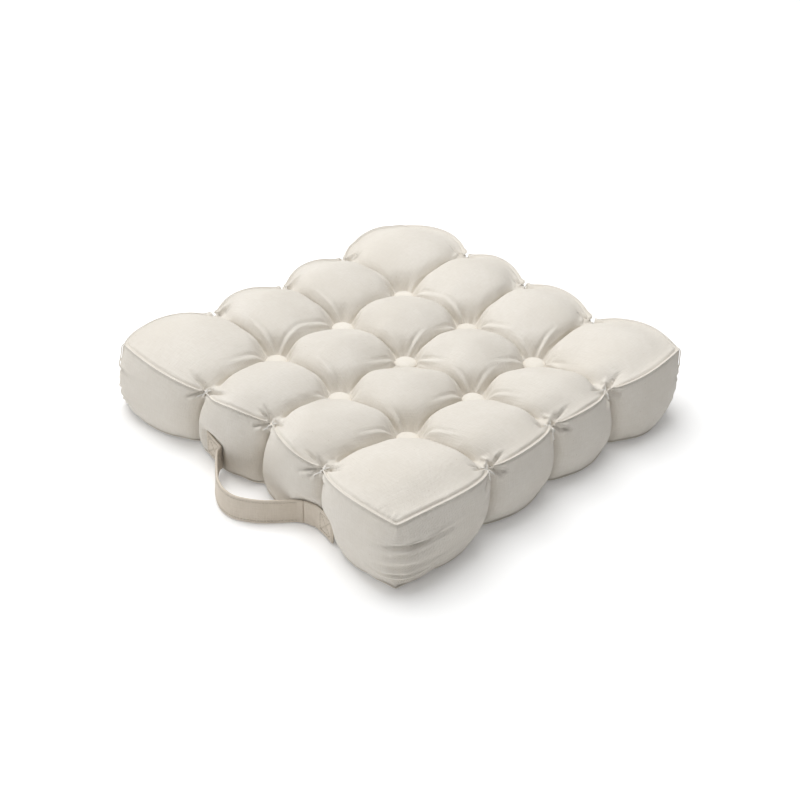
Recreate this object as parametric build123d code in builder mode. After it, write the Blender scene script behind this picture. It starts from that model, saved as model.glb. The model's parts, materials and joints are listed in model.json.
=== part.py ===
"""Tufted square chair seat pad: a stuffed cotton cover drawn in by through-buttons and edge ties,
with a carrying handle of folded cloth.

Millimetres, +Z up. The origin is the middle of the underside. The handle is on the front side, -Y.

The cover is a grid of padded cells, and each face of a cell is a patch of a sphere. Two neighbours'
spheres cross the plane between them in one circle, so the cells meet in a clean valley. That holds when
radius**2 = core**2 + reach_x**2 + reach_y**2, where a reach is the distance from the sphere's centre to
the cell's inner plane, and core is the radius of the shared circle where both reaches end.
"""

import os
from math import acos, atan2, cos, degrees, hypot, radians, sin, sqrt

from build123d import *

os.makedirs("parts", exist_ok=True)

# Tufting grid: three lines of tufts each way make four by four cells
pitch = 105
far = 260  # outside the whole pad
tall = 180  # above the whole pad
deep = 80  # below the whole pad, as a depth

# Sphere families: core radius, centre and reach of the outermost cells
top_core = 75
top_centre = -9
base_core = 141
base_centre = 150
face_reach = 63
side_core = 94
side_centre_out = 122
side_centre_z = 41
side_reach = 67

# Cloth, thread and clearances
cloth = 1.4
gap = 0.5
seam_depth = 2.6  # from the outer skin to the seam thread, in the seam allowance
seam_thread_r = 0.4
seam_break = 0.4  # clear space at each end of a run of seam thread
base_seam_z = 6
seam_corner = 214
band_seam_depth = 3.1
band_seam_low = 10
band_seam_high = 72
wadding_depth = 4
layer_gap = 0.4

# Cotton wadding: three layers, by the heights of their joints
wadding_layers = {"lower_wadding": (0, 32), "middle_wadding": (32, 60), "upper_wadding": (60, tall)}

# Pockets that hold the buttons
top_seat = 57
base_seat = 20
pocket_r = 14
pocket_flare = 0.45
pocket_depth = 60
tuft_hole_r = 3.8

# Buttons: a cloth cover over a metal shell, closed by a back with a wire eye
button_r = 13.2
button_height = 7.2
button_cloth = 0.9
shell_wall = 0.6
shell_gap = 0.15
rim_height = 2.8
cover_foot = 0.3
shell_foot = 1.5
back_r = 10.4
back_thick = 1.2
eye_r = 2.6
eye_wire_r = 0.6
eye_drop = 1.6

# Tufting twine
twine_r = 0.8
twine_bend_r = 1.7
edge_twine_out = 203
edge_twine_low = 3.3
edge_twine_high = 86.4
edge_knot_r = 2.2
inner_knot_r = 1.4
tail_r = 0.6
tail_length = 14
tail_spread = 24

# Handle
strap_width = 28
strap_thick = 2.4
strap_low = 1
end_low = 4
left_end = (-86, -58)
right_end = (80.5, 126)
box_left = (-84, -62)
box_right = (106, 124)
box_low = end_low + 4
box_high = end_low + strap_width - 4
stitch_thick = 0.6
stitch_width = 0.9
strap_path = [(-57.2, -233), (-49, -262), (8, -288), (54, -262), (79.7, -230.5)]
strap_bends = [14, 70, 24]

tuft_lines = (-pitch, 0, pitch)


def write(part, name):
    """Labels one finished piece and writes it as its own node."""
    part.label = name
    export_step(part, f"parts/{name}.step")


# ------------------------------------------------------------------ padded cells


def span(column):
    """The planes on either side of a cell, for column 0 beside the middle or column 1 at the edge."""
    return (0, pitch) if column == 0 else (pitch, far)


def reach(column, outer):
    """From the sphere's centre to the cell's inner plane."""
    return pitch / 2 if column == 0 else outer


def centre(column, outer):
    """Place of the sphere's centre along X or Y."""
    return span(column)[0] + reach(column, outer)


def radius(core, *reaches):
    """Radius that makes neighbouring spheres cross in one circle."""
    return sqrt(core**2 + sum(r**2 for r in reaches))


def cell(column, row, top=None, base=None, side=None):
    """One cell of the quarter with positive X and Y, each face sunk by its depth, or uncut if None.

    Each sphere's poles are turned away from the patch that is used.
    """
    x_low, x_high = span(column)
    y_low, y_high = span(row)
    z_low = -deep if base is None else base
    x = centre(column, face_reach)
    y = centre(row, face_reach)
    reaches = (reach(column, face_reach), reach(row, face_reach))
    with BuildPart() as block:
        with Locations(((x_low + x_high) / 2, (y_low + y_high) / 2, (z_low + tall) / 2)):
            Box(x_high - x_low, y_high - y_low, tall - z_low)
        if top is not None:
            with Locations((x, y, top_centre)):
                Sphere(radius(top_core - top, *reaches), rotation=(90, 0, 0), mode=Mode.INTERSECT)
        if base is not None:
            with Locations((x, y, base_centre)):
                Sphere(radius(base_core - base, *reaches), rotation=(90, 0, 0), mode=Mode.INTERSECT)
        if side is not None and column == 1:
            with Locations((side_centre_out, centre(row, side_reach), side_centre_z)):
                Sphere(
                    radius(side_core - side, reach(row, side_reach)),
                    rotation=(0, 0, 180),
                    mode=Mode.INTERSECT,
                )
        if side is not None and row == 1:
            with Locations((centre(column, side_reach), side_centre_out, side_centre_z)):
                Sphere(
                    radius(side_core - side, reach(column, side_reach)),
                    rotation=(0, 0, 270),
                    mode=Mode.INTERSECT,
                )
    return block.part


def pad(top=None, base=None, side=None):
    """The whole padded block, its faces sunk by the depths given."""
    with BuildPart() as block:
        for column in (0, 1):
            for row in (0, 1):
                add(cell(column, row, top, base, side))
        mirror(about=Plane.YZ)
        mirror(about=Plane.XZ)
    return block.part


def front_side(side):
    """Only the row of cells along the front, bounded by the side's own spheres."""
    with BuildPart() as block:
        for column in (0, 1):
            add(cell(column, 1, side=side))
        mirror(about=Plane.YZ)
    return mirror(block.part, about=Plane.XZ)


finished = pad(top=0, base=0, side=0)

# ------------------------------------------------------------------ cover


def pockets(seat, up, wall):
    """Nine flared pockets that open upwards (up = 1) or downwards (up = -1), grown by wall."""
    floor = seat - up * wall
    mouth = floor + up * pocket_depth
    low_r = pocket_r + wall
    high_r = low_r + pocket_flare * pocket_depth
    with BuildPart() as one:
        with BuildSketch(Plane.XZ):
            with BuildLine():
                Polyline((0, floor), (low_r, floor), (high_r, mouth), (0, mouth), close=True)
            make_face()
        revolve(axis=Axis.Z)
    with BuildPart() as nine:
        with GridLocations(pitch, pitch, 3, 3):
            add(one.part)
    return nine.part


def panel(inside, seat, up):
    """A cover panel: the skin outside the inside block, with nine pockets and their tuft holes."""
    with BuildPart() as cups:
        add(pockets(seat, up, cloth))
        add(finished, mode=Mode.INTERSECT)
    with BuildPart() as skin:
        add(finished)
        add(inside, mode=Mode.SUBTRACT)
        add(cups.part)
        add(pockets(seat, up, 0), mode=Mode.SUBTRACT)
        with Locations((0, 0, seat - up * cloth / 2)):
            with GridLocations(pitch, pitch, 3, 3):
                Cylinder(tuft_hole_r, 2 * cloth, mode=Mode.SUBTRACT)
    return skin.part


with BuildPart() as edge_twine_holes:
    with PolarLocations(edge_twine_out, 4):
        with Locations(*[(0, line, edge_twine_high) for line in tuft_lines]):
            Cylinder(twine_r + gap, 20)

with BuildPart() as top_panel:
    add(panel(pad(top=cloth), top_seat, 1))
    add(edge_twine_holes.part, mode=Mode.SUBTRACT)
write(top_panel.part, "top_panel")

base_panel = panel(pad(base=cloth), base_seat, -1)
write(base_panel, "base_panel")

with BuildPart() as side_band:
    add(pad(top=cloth + gap, base=cloth + gap, side=0))
    add(pad(side=cloth), mode=Mode.SUBTRACT)

# The band is two strips, sewn together at the right rear and left front corners.
strips = {"side_band_front_right": (1, -1, 0), "side_band_back_left": (-1, 1, 0)}
for name, away in strips.items():
    joint = Plane(origin=Vector(*away).normalized() * (gap / 2), z_dir=away)
    with BuildPart() as strip:
        add(side_band.part)
        split(bisect_by=joint, keep=Keep.TOP)
    write(strip.part, name)

# ------------------------------------------------------------------ seam threads


def crossing(middle_a, radius_a, middle_b, radius_b):
    """The circle where two spheres cross: its centre, its normal and its radius."""
    a = Vector(*middle_a)
    b = Vector(*middle_b)
    apart = (b - a).length
    normal = (b - a).normalized()
    along = (apart**2 + radius_a**2 - radius_b**2) / (2 * apart)
    return a + normal * along, normal, sqrt(radius_a**2 - along**2)


def level_circle(middle, ball_r, z):
    """The level circle round a sphere at height z."""
    x, y, z_middle = middle
    return Vector(x, y, z), Vector(0, 0, 1), sqrt(ball_r**2 - (z - z_middle) ** 2)


def seam_run(circle, along, low, high, outward):
    """Thread on the outward side of a circle, between two places measured along a direction."""
    middle, normal, circle_r = circle
    flat = along - normal * along.dot(normal)
    out = flat.cross(normal).normalized()
    if out.dot(outward) < 0:
        out = -out
    first, last = (acos((place - middle.dot(along)) / (circle_r * flat.length)) for place in (high, low))
    start = flat.normalized() * cos(first) + out * sin(first)
    with BuildPart() as run:
        with Locations(Plane(origin=middle, x_dir=start, z_dir=flat.cross(out)).location):
            Torus(circle_r, seam_thread_r, major_angle=degrees(last - first), align=None)
    return run.part


def round_the_pad(circles):
    """Runs of thread in every cell round the pad, from the back circles of the two columns."""
    with BuildPart() as half_side:
        for column, circle in enumerate(circles):
            low = span(column)[0] + seam_break
            high = min(span(column)[1], seam_corner) - seam_break
            add(seam_run(circle, Vector(1, 0, 0), low, high, Vector(0, 1, 0)))
        mirror(about=Plane.YZ)
    with BuildPart() as seam:
        with PolarLocations(0, 4):
            add(half_side.part)
    return seam.part


def side_sphere(column, depth):
    """Centre and radius of the back side's sphere in one column, sunk by depth."""
    middle = (centre(column, side_reach), side_centre_out, side_centre_z)
    return middle, radius(side_core - depth, reach(column, side_reach))


def top_sphere(column, depth):
    """Centre and radius of the top sphere in the back row, sunk by depth."""
    middle = (centre(column, face_reach), centre(1, face_reach), top_centre)
    return middle, radius(top_core - depth, reach(column, face_reach), face_reach)


sides = [side_sphere(column, seam_depth) for column in (0, 1)]
tops = [top_sphere(column, seam_depth) for column in (0, 1)]
write(round_the_pad([crossing(*top, *side) for top, side in zip(tops, sides)]), "top_seam_thread")
write(round_the_pad([level_circle(*side, base_seam_z) for side in sides]), "base_seam_thread")

(out_x, out_y, out_z), out_r = side_sphere(1, band_seam_depth)
band_corner = crossing((out_x, out_y, out_z), out_r, (out_y, out_x, out_z), out_r)
up = Vector(0, 0, 1)
with BuildPart() as band_seam_threads:
    add(seam_run(band_corner, up, band_seam_low, band_seam_high, Vector(1, 1, 0)))
    add(band_seam_threads.part, rotation=(0, 0, 180))
write(band_seam_threads.part, "band_seam_threads")

# ------------------------------------------------------------------ filling

with BuildPart() as filling:
    add(pad(top=wadding_depth, base=wadding_depth, side=wadding_depth))
    add(pockets(top_seat, 1, cloth + gap), mode=Mode.SUBTRACT)
    add(pockets(base_seat, -1, cloth + gap), mode=Mode.SUBTRACT)
    with GridLocations(pitch, pitch, 3, 3):
        Cylinder(tuft_hole_r, 2 * tall, mode=Mode.SUBTRACT)
    with PolarLocations(edge_twine_out, 4):
        with Locations(*[(0, line, 0) for line in tuft_lines]):
            Cylinder(inner_knot_r + gap, 2 * tall, mode=Mode.SUBTRACT)

for name, (low, high) in wadding_layers.items():
    with BuildPart() as layer:
        add(filling.part)
        with Locations((0, 0, (low + high) / 2)):
            Box(2 * far, 2 * far, high - low - layer_gap, mode=Mode.INTERSECT)
    write(layer.part, name)

# ------------------------------------------------------------------ buttons and tufting twine

turned_under = back_r + gap
cover_inner_r = button_r - button_cloth
shell_r = cover_inner_r - shell_gap
shell_top = button_height - button_cloth - shell_gap

with BuildPart() as button_cover:
    with BuildSketch(Plane.XZ):
        with BuildLine():
            outside = TangentArc((0, button_height), (button_r, rim_height), tangent=(1, 0))
            rim = Polyline(
                outside @ 1,
                (button_r, cover_foot + 0.5),
                (button_r - 0.5, cover_foot),
                (turned_under, cover_foot),
                (turned_under, cover_foot + button_cloth),
                (cover_inner_r, cover_foot + button_cloth),
                (cover_inner_r, rim_height),
            )
            hollow = TangentArc((0, button_height - button_cloth), rim @ 1, tangent=(1, 0))
            Line(hollow @ 0, outside @ 0)
        make_face()
    revolve(axis=Axis.Z)

with BuildPart() as button_shell:
    with BuildSketch(Plane.XZ):
        with BuildLine():
            outside = TangentArc((0, shell_top), (shell_r, rim_height), tangent=(1, 0))
            rim = Polyline(
                outside @ 1,
                (shell_r, shell_foot),
                (shell_r - shell_wall, shell_foot),
                (shell_r - shell_wall, rim_height),
            )
            hollow = TangentArc((0, shell_top - shell_wall), rim @ 1, tangent=(1, 0))
            Line(hollow @ 0, outside @ 0)
        make_face()
    revolve(axis=Axis.Z)

with BuildPart() as button_back:
    with Locations((0, 0, 0.4 + back_thick / 2)):
        Cylinder(back_r, back_thick)
    with Locations(Location((0, 0, -eye_drop), (0, 90, 0))):
        Torus(eye_r, eye_wire_r)

button_pieces = {"covers": button_cover, "shells": button_shell, "backs": button_back}
for name, piece in button_pieces.items():
    for side, seat, turn in (("top", top_seat, 0), ("base", base_seat, 180)):
        with BuildPart() as group:
            with Locations((0, 0, seat)):
                with GridLocations(pitch, pitch, 3, 3):
                    add(piece.part, rotation=(turn, 0, 0))
        write(group.part, f"{side}_button_{name}")

# One closed loop of twine runs through each pair of wire eyes.
loop_top = top_seat - eye_drop - eye_r
loop_base = base_seat + eye_drop + eye_r
with BuildPart() as twine_loop:
    with BuildLine() as loop:
        with BuildLine(Plane.XZ):
            right = Line((twine_bend_r, loop_base), (twine_bend_r, loop_top))
            ThreePointArc(right @ 1, (0, loop_top + twine_bend_r), (-twine_bend_r, loop_top))
            left = Line((-twine_bend_r, loop_top), (-twine_bend_r, loop_base))
            ThreePointArc(left @ 1, (0, loop_base - twine_bend_r), right @ 0)
    with BuildSketch(Plane(origin=right @ 0.5, z_dir=(0, 0, 1))):
        Circle(twine_r)
    sweep(path=loop.wires()[0])

with BuildPart() as tufting_twines:
    with GridLocations(pitch, pitch, 3, 3):
        add(twine_loop.part)
write(tufting_twines.part, "tufting_twines")

# ------------------------------------------------------------------ edge ties

with BuildPart() as edge_twine:
    with Locations((0, 0, (edge_twine_low + edge_twine_high) / 2)):
        Cylinder(twine_r, edge_twine_high - edge_twine_low)
    with Locations((0, 0, edge_twine_high)):
        Sphere(edge_knot_r)
    with Locations((0, 0, edge_twine_low)):
        Sphere(inner_knot_r)

with BuildPart() as tail_pair:
    for turn in (-radians(tail_spread), radians(tail_spread)):
        outward = Plane(origin=(0, 0, edge_twine_high), z_dir=(cos(turn), sin(turn), 0))
        with BuildSketch(outward.offset(edge_knot_r + gap)):
            Circle(tail_r)
        extrude(amount=tail_length)

for name, piece in (("edge_twines", edge_twine), ("edge_tie_tails", tail_pair)):
    with BuildPart() as group:
        with PolarLocations(edge_twine_out, 4):
            with Locations(*[(0, line, 0) for line in tuft_lines]):
                add(piece.part)
    write(group.part, name)

# ------------------------------------------------------------------ handle

with BuildPart() as handle_strap:
    with BuildSketch(Plane.XY.offset(strap_low)):
        with BuildLine():
            FilletPolyline(*strap_path, radius=strap_bends)
        trace(line_width=strap_thick)
    extrude(amount=strap_width)
write(handle_strap.part, "handle_strap")


def box_between(x_span, z_span):
    """A block across the front edge, from X and Z limits."""
    with Locations((sum(x_span) / 2, -far / 2 - pitch / 2, sum(z_span) / 2)):
        Box(x_span[1] - x_span[0], far, z_span[1] - z_span[0])


end_outside = -(gap + strap_thick)
with BuildPart() as end_blocks:
    for x_span in (left_end, right_end):
        box_between(x_span, (end_low, end_low + strap_width))
with BuildPart() as handle_ends:
    add(front_side(end_outside))
    add(front_side(-gap), mode=Mode.SUBTRACT)
    add(end_blocks.part, mode=Mode.INTERSECT)
write(handle_ends.part, "handle_ends")

stitch_foot = end_outside - gap
with BuildPart() as stitch_bars:
    for x_low, x_high in (box_left, box_right):
        wide = x_high - x_low
        high = box_high - box_low
        slant = degrees(atan2(high, wide))
        # The middle of the box as the plane of the front side sees it: X to the right, Z up.
        with BuildSketch(Plane.XZ.offset(pitch)):
            with Locations(((x_low + x_high) / 2, (box_low + box_high) / 2)):
                Rectangle(wide, high)
                Rectangle(wide - 2 * stitch_width, high - 2 * stitch_width, mode=Mode.SUBTRACT)
                for turn in (-slant, slant):
                    Rectangle(hypot(wide, high) - 2 * stitch_width, stitch_width, rotation=turn)
        extrude(amount=far)
with BuildPart() as handle_stitching:
    add(front_side(stitch_foot - stitch_thick))
    add(front_side(stitch_foot), mode=Mode.SUBTRACT)
    add(stitch_bars.part, mode=Mode.INTERSECT)
write(handle_stitching.part, "handle_stitching")
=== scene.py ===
"""Looks of the tufted seat pad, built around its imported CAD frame. Metres, in the CAD's own frame."""

import json
import math

import bpy
import numpy as np
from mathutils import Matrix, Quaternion, Vector
from mathutils.bvhtree import BVHTree


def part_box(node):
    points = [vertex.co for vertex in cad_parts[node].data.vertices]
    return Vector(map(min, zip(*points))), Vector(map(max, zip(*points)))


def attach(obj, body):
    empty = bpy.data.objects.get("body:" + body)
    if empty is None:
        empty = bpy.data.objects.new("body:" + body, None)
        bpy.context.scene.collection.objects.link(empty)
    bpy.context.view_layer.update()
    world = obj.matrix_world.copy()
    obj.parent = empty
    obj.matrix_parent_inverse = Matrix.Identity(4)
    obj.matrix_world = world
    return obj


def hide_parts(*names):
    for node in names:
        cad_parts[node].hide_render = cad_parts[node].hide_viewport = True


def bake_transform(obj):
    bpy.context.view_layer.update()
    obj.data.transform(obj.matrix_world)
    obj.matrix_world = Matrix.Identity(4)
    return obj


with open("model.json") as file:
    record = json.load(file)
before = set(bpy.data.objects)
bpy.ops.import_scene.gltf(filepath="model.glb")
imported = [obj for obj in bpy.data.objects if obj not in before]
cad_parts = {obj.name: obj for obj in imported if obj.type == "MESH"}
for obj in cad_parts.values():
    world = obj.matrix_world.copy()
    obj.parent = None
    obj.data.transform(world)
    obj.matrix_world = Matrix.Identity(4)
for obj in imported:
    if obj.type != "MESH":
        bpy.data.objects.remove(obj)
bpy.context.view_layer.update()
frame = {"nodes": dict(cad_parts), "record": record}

MM = 0.001
UP, DOWN = np.array([0, 0, 1.0]), np.array([0, 0, -1.0])

# --- camera, at the photograph's angle

AZIMUTH, ELEVATION, ROLL = (math.radians(angle) for angle in (43.263, 34.859, 1.53))
DISTANCE, LENS = 1.7336, 66.35
SHIFT_X, SHIFT_Y = -0.0056, 0.0069


def make_camera():
    """A long lens at the front right corner, aimed a little off the middle of the pad's underside."""
    level = math.cos(ELEVATION)
    back = Vector((math.sin(AZIMUTH) * level, -math.cos(AZIMUTH) * level, math.sin(ELEVATION)))
    data = bpy.data.cameras.new("camera")
    data.lens, data.sensor_width = LENS, 36
    data.shift_x, data.shift_y = SHIFT_X, SHIFT_Y
    camera = bpy.data.objects.new("camera", data)
    camera.rotation_mode = "QUATERNION"
    camera.location = back * DISTANCE
    camera.rotation_quaternion = (-back).to_track_quat("-Z", "Y") @ Quaternion((0, 0, 1), ROLL)
    bpy.context.scene.collection.objects.link(camera)
    bpy.context.scene.camera = camera


make_camera()

# --- small helpers


def clip(x):
    return np.clip(x, 0, 1)


def soft_step(x):
    """From 0 to 1 without a corner, as x goes from 0 to 1."""
    x = clip(x)
    return x * x * (3 - 2 * x)


def bump(x):
    return np.exp(-x * x)


def unit(v):
    return v / np.linalg.norm(v)


def lengths(vectors):
    """Each row's length, as a column."""
    return np.linalg.norm(vectors, axis=1)[:, None]


def run_along(path):
    """How far along a path each of its points lies."""
    return np.concatenate([[0], np.cumsum(lengths(np.diff(path, axis=0)))])


def read(items, key, width=3, kind=float):
    """One attribute of a mesh's parts, a row for each."""
    values = np.empty(len(items) * width, kind)
    items.foreach_get(key, values)
    return values.reshape(-1, width)


# --- the cover's plan

PITCH = 105 * MM  # between tufts
SIDE_CORE, SIDE_OUT, SIDE_Z, SIDE_REACH = 94 * MM, 122 * MM, 41 * MM, 67 * MM
STEPS = 28  # quads across one cell, an even number
BAND_STEPS = 18  # quads down the side band
LINES = 4 * STEPS + 1
LAST = LINES - 1
MID = LAST // 2
TUFT_LINES = (STEPS, 2 * STEPS, 3 * STEPS)
RIM_TOP, RIM_BASE = 80 * MM, 5 * MM  # heights at which the panels' rims take their plan

# How far the maker's hand moved each point of the rim from its even place, in mm along X and Y: top, then base.
SLIPS = {
    (-1, -2): ((12, -10), (-3, -8)),
    (0, -2): ((1, 2), (1, -9)),
    (1, -2): ((-8, -13), (2, -8)),
    (2, -1): ((6, 5), (0, -4)),
    (2, 0): ((3, 5), (1, 2)),
    (2, 1): ((3, -4), (3, 3)),
    (1, 2): ((-1, 3), (1, 3)),
    (0, 2): ((-6, 8), (-2, 4)),
    (-1, 2): ((-2, 12), (-4, 3)),
    (-2, 1): ((4, -6), (-3, -2)),
    (-2, 0): ((4, -3), (-3, 1)),
    (-2, -1): ((-6, 1), (-3, -2)),
    (2, -2): ((-6, -14), (-7, -12)),
    (2, 2): ((-2, -1), (1, -18)),
    (-2, -2): ((-4, -5), (-5, -8)),
    (-2, 2): ((2, 3), (-3, 4)),
}
TIES = [(a, b) for a, b in SLIPS if abs(a) < 2 or abs(b) < 2]
TUFTS = [(a, b) for a in (-1, 0, 1) for b in (-1, 0, 1)]

# How far each sewn corner pokes out past the round of its cell, in mm: at the top and at the base.
CORNER_POINTS = {(2, -2): (3, 5), (2, 2): (3, 1), (-2, -2): (2, 2), (-2, 2): (1, 1)}
CORNER_REACH = 0.3  # of a cell, from the corner


def line_shares():
    """The shares of the grid's lines: three times as close at the tuft lines and the rim as between them."""
    even = np.linspace(-2, 2, LINES)
    shares = even - 0.5 * np.sin(2 * math.pi * even) / (2 * math.pi)
    shares[::STEPS] = (-2, -1, 0, 1, 2)
    return shares


def rim_walk():
    """Grid places round the rim, anticlockwise seen from above, starting at the -X, -Y corner."""
    n = np.arange(LAST)
    zero, last = np.zeros(LAST, int), np.full(LAST, LAST)
    return np.concatenate([n, last, LAST - n, zero]), np.concatenate([zero, n, last, LAST - n])


def index_grids():
    """The numbers of the cover's points: on top, underneath (-1 where there is none) and along the band's rows."""
    grid = np.arange(LINES)
    rim, even = (grid == 0) | (grid == LAST), grid % 2 == 0
    kept = (even[:, None] & even[None, :]) | rim[:, None] | rim[None, :]
    top = np.arange(LINES * LINES).reshape(LINES, LINES)
    base = np.full((LINES, LINES), -1)
    base[kept] = top.size + np.arange(kept.sum())
    band = np.empty((BAND_STEPS + 1, 4 * LAST), int)
    band[0], band[-1] = top[WALK], base[WALK]
    band[1:-1] = base.max() + 1 + np.arange((BAND_STEPS - 1) * 4 * LAST).reshape(-1, 4 * LAST)
    return top, base, band


U, V = np.meshgrid(line_shares(), line_shares(), indexing="ij")  # shares along X (axis 0) and Y
WALK = rim_walk()
ON_X, ON_Y = ((along == 0) | (along == LAST) for along in WALK)  # on the two sides across X, and across Y
TOP_ID, BASE_ID, BAND_ID = index_grids()
THERE = BASE_ID >= 0


def down_share(k):
    """How far down the band its row k lies, 0 to 1: rows are closer together near the seams."""
    even = k / BAND_STEPS
    return even - 0.25 * math.sin(2 * math.pi * even) / (2 * math.pi)


def cell_place(share):
    """Where in its cell a share lies, -1 to 1."""
    return (share - np.clip(np.floor(share), -2, 1)) * 2 - 1


def side_out(s, z):
    """How far the side stands from the middle plane, at a place along the side and a height."""
    inner = abs(s) < PITCH
    r = np.where(inner, PITCH / 2, SIDE_REACH)
    c = np.where(inner, PITCH / 2, PITCH + SIDE_REACH)
    under = SIDE_CORE**2 + r**2 - (abs(s) - c) ** 2 - (z - SIDE_Z) ** 2
    return SIDE_OUT + np.sqrt(np.maximum(under, 0))


def corner_place(z):
    """Where two side spheres meet on the diagonal at height z."""
    c = PITCH + SIDE_REACH
    r2 = SIDE_CORE**2 + SIDE_REACH**2 - (z - SIDE_Z) ** 2
    b = SIDE_OUT + c
    return (b + np.sqrt(b * b - 2 * (SIDE_OUT**2 + c * c - r2))) / 2


def panel_plan(z):
    """Plan places of a panel's grid, whose rim bulges between the ties."""
    corner = corner_place(z)

    def spread(a, rim):
        return np.sign(a) * (np.minimum(abs(a), 1) * PITCH + clip(abs(a) - 1) * (rim - PITCH))

    x, y = spread(U, corner), spread(V, corner)
    for _ in range(4):
        rim_x = side_out(np.clip(y, -corner, corner), z)
        rim_y = side_out(np.clip(x, -corner, corner), z)
        x, y = spread(U, rim_x), spread(V, rim_y)
    return x, y


def slips(u, v, level):
    """The maker's slips at any share, fading out over one cell, and the points at the sewn corners."""
    dx, dy = np.zeros_like(u), np.zeros_like(u)
    for (a, b), sizes in SLIPS.items():
        weight = soft_step(clip(1 - abs(u - a)) * clip(1 - abs(v - b)))
        dx += weight * sizes[level][0] * MM
        dy += weight * sizes[level][1] * MM
    for (a, b), sizes in CORNER_POINTS.items():
        weight = clip(1 - abs(u - a) / CORNER_REACH) * clip(1 - abs(v - b) / CORNER_REACH)
        dx += weight**1.5 * sizes[level] * np.sign(a) * MM
        dy += weight**1.5 * sizes[level] * np.sign(b) * MM
    return dx, dy


# --- the cover's first shape, before it swells

BUTTON_SEAT, BASE_SEAT = 57 * MM, 19 * MM  # where the cloth lies under a button
TIE_HEIGHT, TOP_CORNER = 77 * MM, 83 * MM  # of the top seam
SEAM_RISE = 9 * MM  # of the seam between two ties
BACK_SLACK, FAR_SLACK = 5 * MM, 7 * MM  # of the seam along the back and left sides, and more at their corner
DOME_FOOT, TOP_RISE = 64 * MM, 29 * MM  # height of a dome's corners, and of its top over them
OUTER_RISE = 7 * MM  # how much higher the outer cells stand
RIM_ROLL = 4 * MM  # how much fuller the panel is just inside its rim
BASE_LIFT, BASE_CREASE, BASE_RIM = 9 * MM, 4.5 * MM, 2 * MM  # the base's lift: by tufts, in creases, at the rim
PIT_R, PIT_FADE = 12 * MM, 8 * MM  # of the flat place under a button, and of the slope round it
CREASE_FADE, TIE_FADE = 5 * MM, 14 * MM  # how far a crease and a tie reach
FLANK = 3 * MM  # how much fuller a cell's flanks are than a sphere's
CREASE_CUT, SIDE_CUT = 9 * MM, 9 * MM  # how much deeper a crease is than the spheres make it: top, side
BAND_CORNER = 221 * MM  # from the middle to the band's corners, along X and Y
CELL_CLOTH, BAND_CLOTH = 134 * MM, 90 * MM  # of cloth across one cell, and down the band


def crease_share(share):
    """1 on a tuft line, falling away over a few millimetres."""
    d = np.minimum(abs(share - np.round(share)), 0.5) * PITCH
    return np.where(abs(np.round(share)) < 2, bump(d / CREASE_FADE), 0)


def pit_share(u, v):
    """1 over a button, falling away around it."""
    d = np.min([np.hypot(u - a, v - b) * PITCH for a, b in TUFTS], axis=0)
    return bump(np.maximum(d - PIT_R, 0) / PIT_FADE)


def tie_share(u, v):
    """1 at the rim's ties, falling away around them."""
    return np.max([bump(np.hypot(u - a, v - b) * PITCH / TIE_FADE) for a, b in TIES], axis=0)


def seam_height(u, v):
    """Height of the top seam, along the rim: low at the ties, higher between them and at the corners."""
    along = np.where(abs(u) >= abs(v), v, u)
    a = cell_place(along)
    end = clip(abs(along) - 1)
    back, left = clip(v - 1), clip(-u - 1)
    slack = BACK_SLACK * np.maximum(back * clip(2 - u), left * clip(v + 2)) + FAR_SLACK * back * left
    return -slack + TIE_HEIGHT + (TOP_CORNER - TIE_HEIGHT) * end**2 + SEAM_RISE * (1 - a * a)


def top_height(u, v):
    """The top panel: a dome in each cell, drawn down along the tuft lines and into the pockets."""
    out_u, out_v = clip(abs(u) - 1), clip(abs(v) - 1)
    a = np.where(out_u > 0, (out_u - 0.5) * 2, cell_place(u))
    b = np.where(out_v > 0, (out_v - 0.5) * 2, cell_place(v))
    z = DOME_FOOT + TOP_RISE * (2 - a * a - b * b) / 2
    z = z + 2 * FLANK * (a * a - a**4 + b * b - b**4)
    z = z + OUTER_RISE * (np.sin(np.pi * out_u / 2) + np.sin(np.pi * out_v / 2)) / 2
    rim = np.maximum(out_u, out_v)
    to_rim = soft_step((rim - 0.45) / 0.55)
    z = z * (1 - to_rim) + seam_height(u, v) * to_rim + RIM_ROLL * np.sin(np.pi * to_rim)
    cut = np.maximum(crease_share(u), crease_share(v)) * (1 - tie_share(u, v)) * (1 - clip(rim * 3 - 2))
    z = z - CREASE_CUT * cut
    pit = pit_share(u, v)
    return z * (1 - pit) + np.minimum(z, BUTTON_SEAT) * pit


def base_height(u, v):
    """The base panel: flat on the floor, with shallow creases and pockets."""
    a, b = cell_place(u), cell_place(v)
    lift = BASE_LIFT * np.maximum(a * a + b * b - 0.75, 0)
    near_u, near_v = (1 - abs(a)) * PITCH / 2, (1 - abs(b)) * PITCH / 2
    lift = lift + BASE_CREASE * bump(np.minimum(near_u, near_v) / (9 * MM))
    out = np.maximum(abs(u), abs(v))
    lift = np.where(out > 1, lift * (2 - out) + BASE_RIM * np.clip(out - 1.8, 0, 0.2) * 5, lift)
    pit = pit_share(u, v)
    return lift * (1 - pit) + BASE_SEAT * pit


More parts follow.
